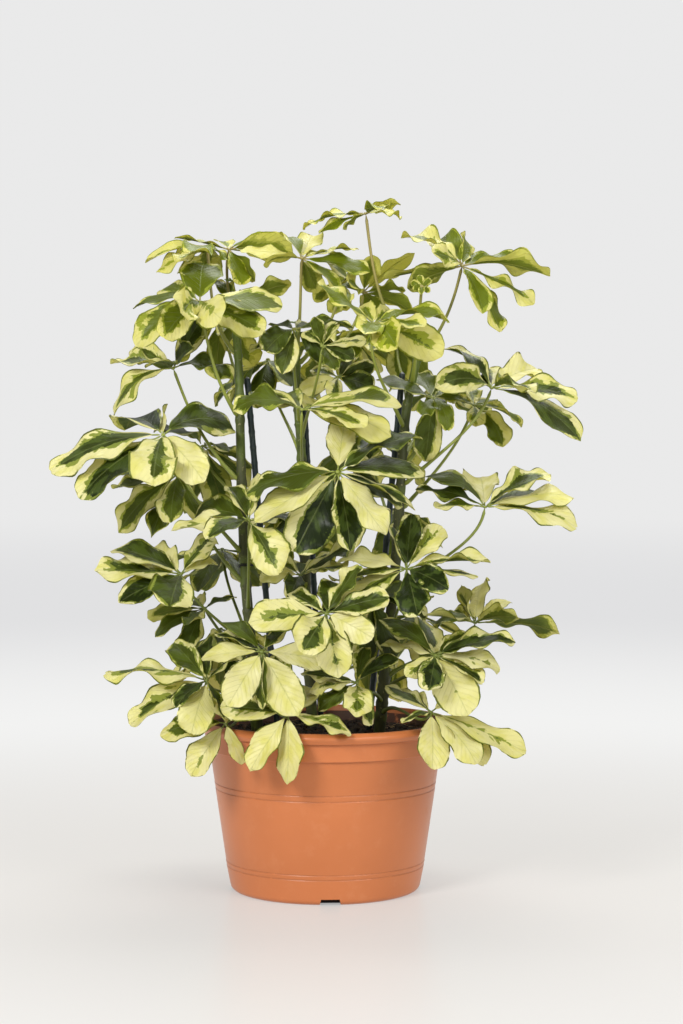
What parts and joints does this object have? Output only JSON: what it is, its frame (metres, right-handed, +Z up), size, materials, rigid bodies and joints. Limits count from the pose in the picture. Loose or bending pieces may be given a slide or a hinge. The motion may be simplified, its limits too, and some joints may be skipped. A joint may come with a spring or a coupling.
{
  "type": "potted umbrella plant",
  "caption": "Variegated dwarf umbrella plant: staked stems with umbrella-shaped leaves, standing in a terracotta-coloured plastic nursery pot of soil.",
  "frame": {"origin": "middle of the pot's flat base, on the surface that the pot stands on", "axes": "+Z up, -Y towards the plant's front, +X to the right seen from the front"},
  "size_m": [0.537, 0.3986, 0.7006],
  "materials": {
    "terracotta": "satin moulded plastic, terracotta orange",
    "soil": "dark crumbly peat with bits of bark",
    "stem": "green-brown bark with pale rings",
    "cane": "dark green coated stake",
    "tie": "soft black band",
    "leaf": "glossy leaflets, cream with dark green blotches"
  },
  "bodies": {
    "root": {"pot": "terracotta", "soil": "soil", "stem_left": "stem", "cane_left": "cane", "stem_centre": "stem", "cane_centre": "cane", "stem_right": "stem", "cane_right": "cane", "tie_left": "tie", "leaf_01": "leaf", "leaf_02": "leaf", "leaf_03": "leaf", "leaf_04": "leaf", "leaf_05": "leaf", "leaf_06": "leaf", "leaf_07": "leaf", "leaf_08": "leaf", "leaf_09": "leaf", "leaf_10": "leaf", "leaf_11": "leaf", "leaf_12": "leaf", "leaf_13": "leaf", "leaf_14": "leaf", "leaf_15": "leaf", "leaf_16": "leaf", "leaf_17": "leaf", "leaf_18": "leaf", "leaf_19": "leaf", "leaf_20": "leaf", "leaf_21": "leaf", "leaf_22": "leaf", "leaf_23": "leaf", "leaf_24": "leaf", "leaf_25": "leaf", "leaf_26": "leaf", "leaf_27": "leaf", "leaf_28": "leaf", "leaf_29": "leaf", "leaf_30": "leaf", "leaf_31": "leaf", "leaf_32": "leaf", "leaf_33": "leaf", "leaf_34": "leaf", "leaf_35": "leaf", "leaf_36": "leaf", "leaf_37": "leaf", "leaf_38": "leaf", "leaf_39": "leaf", "leaf_40": "leaf", "leaf_41": "leaf", "leaf_42": "leaf", "leaf_43": "leaf", "leaf_44": "leaf", "leaf_45": "leaf", "leaf_46": "leaf", "leaf_47": "leaf", "leaf_48": "leaf", "leaf_49": "leaf", "leaf_50": "leaf", "leaf_51": "leaf"}
  },
  "joints": []
}
